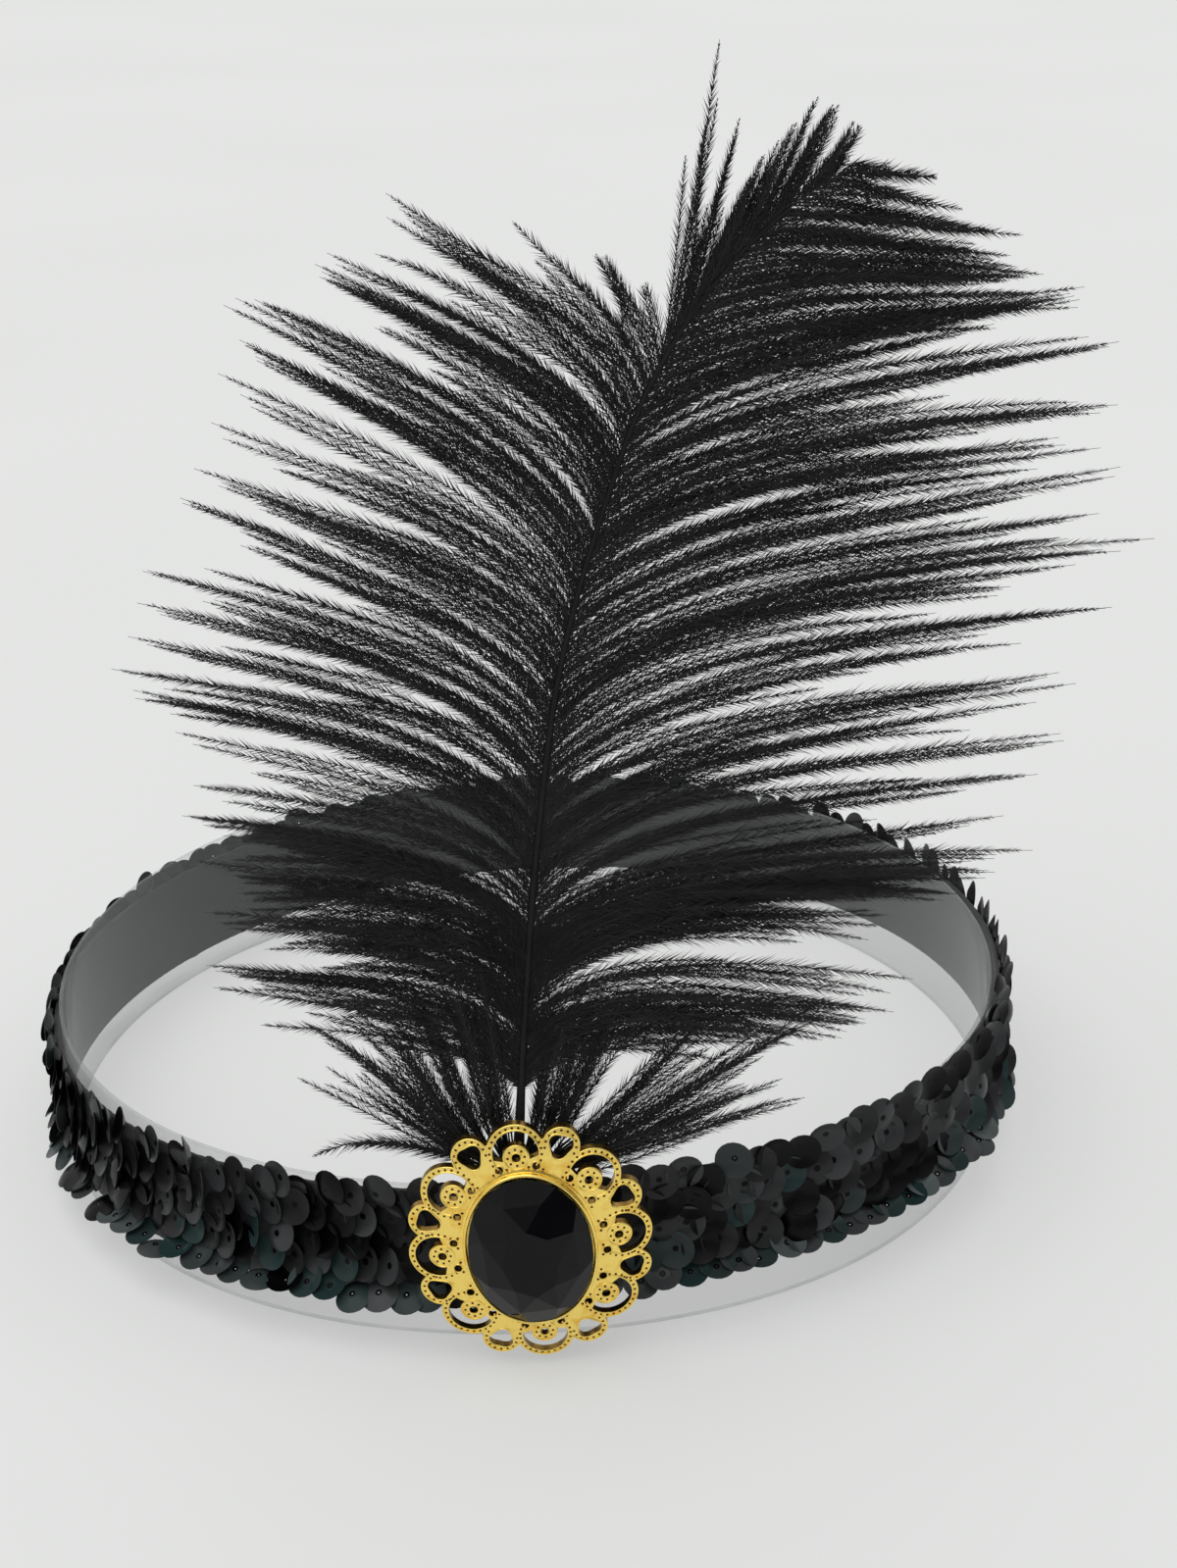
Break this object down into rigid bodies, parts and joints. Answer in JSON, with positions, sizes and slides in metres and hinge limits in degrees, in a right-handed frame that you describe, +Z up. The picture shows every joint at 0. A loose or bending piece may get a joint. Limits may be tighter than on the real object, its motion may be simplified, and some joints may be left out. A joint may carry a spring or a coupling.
{
  "type": "flapper feather headband on a clear display hoop",
  "caption": "Sequinned elastic headband with a pierced gilt brooch, black oval stone and upright ostrich plume, held open by a clear plastic hoop.",
  "frame": {"origin": "on the table, at the centre of the hoop", "axes": "+Z up along the plume, -Y towards the front where the brooch is, +X to the brooch's right as seen from the front"},
  "size_m": [0.1775, 0.1801, 0.1895],
  "materials": {
    "clear_plastic": "clear, smooth and glossy",
    "black_elastic": "matt knitted elastic",
    "black_sequin": "satin black",
    "black_felt": "matt felt",
    "gilt_metal": "bright gilt with darker hollows",
    "black_stone": "faceted and polished",
    "black_feather": "dyed black ostrich barbs"
  },
  "bodies": {
    "root": {"display_hoop": "clear_plastic", "elastic_band": "black_elastic", "sequin_course_1": "black_sequin", "sequin_course_2": "black_sequin", "sequin_course_3": "black_sequin", "sequin_course_4": "black_sequin", "sequin_course_5": "black_sequin", "felt_pad": "black_felt", "brooch_filigree": "gilt_metal", "oval_stone": "black_stone", "ostrich_plume": "black_feather"}
  },
  "joints": []
}
